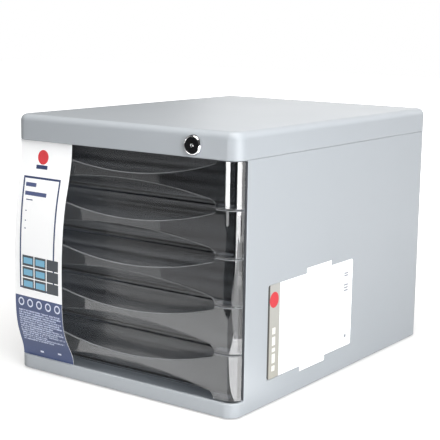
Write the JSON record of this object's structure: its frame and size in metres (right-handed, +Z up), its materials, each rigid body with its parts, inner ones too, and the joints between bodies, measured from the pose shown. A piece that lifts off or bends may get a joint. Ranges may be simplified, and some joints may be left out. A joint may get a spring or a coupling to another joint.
{
  "type": "desktop file drawer",
  "caption": "Desktop cabinet with stacked smoked sliding drawers in a light grey case, a keyed lock in the fascia and cards tucked on the front and side.",
  "frame": {"origin": "on the resting plane, under the middle of the whole, the bowed card and the rear screw heads included", "axes": "+Z up, -Y out of the drawer fronts, +X to the right as seen from the front"},
  "size_m": [0.26, 0.3698, 0.252],
  "materials": {
    "case_shell": "fine satin moulded polystyrene, light grey",
    "smoked_plastic": "polished translucent smoked polystyrene",
    "runner_plastic": "plain moulded polystyrene, light grey",
    "chrome": "polished chrome plate",
    "lock_black": "dark plated die casting",
    "zinc_steel": "bright zinc plate",
    "foot_rubber": "soft matte black",
    "printed_card": "coated white board, printed",
    "silver_card": "coated board, white and silver print"
  },
  "bodies": {
    "case": {"lower_case": "case_shell", "top_cover": "case_shell", "back_panel": "case_shell", "foot_pads": "foot_rubber", "runner_frame_left": "runner_plastic", "runner_frame_right": "runner_plastic", "cover_screws": "zinc_steel", "panel_screws": "zinc_steel", "lock_barrel": "chrome", "lock_nut": "zinc_steel", "bar_guides": "runner_plastic", "front_card": "printed_card", "side_label": "silver_card"},
    "drawer_1": {"drawer_1": "smoked_plastic"},
    "drawer_2": {"drawer_2": "smoked_plastic"},
    "drawer_3": {"drawer_3": "smoked_plastic"},
    "drawer_4": {"drawer_4": "smoked_plastic"},
    "drawer_5": {"drawer_5": "smoked_plastic"},
    "lock_cylinder": {"lock_plug": "lock_black", "lock_cam": "zinc_steel", "cam_screw": "zinc_steel"},
    "lock_bar": {"lock_bar": "zinc_steel"}
  },
  "joints": [
    {"name": "drawer_1_slide", "type": "slide", "parent": "case", "child": "drawer_1", "axis": [0, -1, 0], "range_m": [0, 0.24], "deforming": ["front_card"]},
    {"name": "drawer_2_slide", "type": "slide", "parent": "case", "child": "drawer_2", "axis": [0, -1, 0], "range_m": [0, 0.24], "deforming": ["front_card"]},
    {"name": "drawer_3_slide", "type": "slide", "parent": "case", "child": "drawer_3", "axis": [0, -1, 0], "range_m": [0, 0.24], "deforming": ["front_card"]},
    {"name": "drawer_4_slide", "type": "slide", "parent": "case", "child": "drawer_4", "axis": [0, -1, 0], "range_m": [0, 0.24], "deforming": ["front_card"]},
    {"name": "drawer_5_slide", "type": "slide", "parent": "case", "child": "drawer_5", "axis": [0, -1, 0], "range_m": [0, 0.24], "deforming": ["front_card"]},
    {"name": "lock_turn", "type": "hinge", "parent": "case", "child": "lock_cylinder", "pos_m": [0.084, -0.1721, 0.2384], "axis": [0, -1, 0], "range_deg": [0, 92]},
    {"name": "lock_bar_lift", "type": "slide", "parent": "case", "child": "lock_bar", "axis": [0, 0, 1], "range_m": [0, 0.0099]}
  ],
  "couplings": [
    {"joint": "lock_turn", "follows": "lock_bar_lift", "rad_per_m": 158.67}
  ]
}
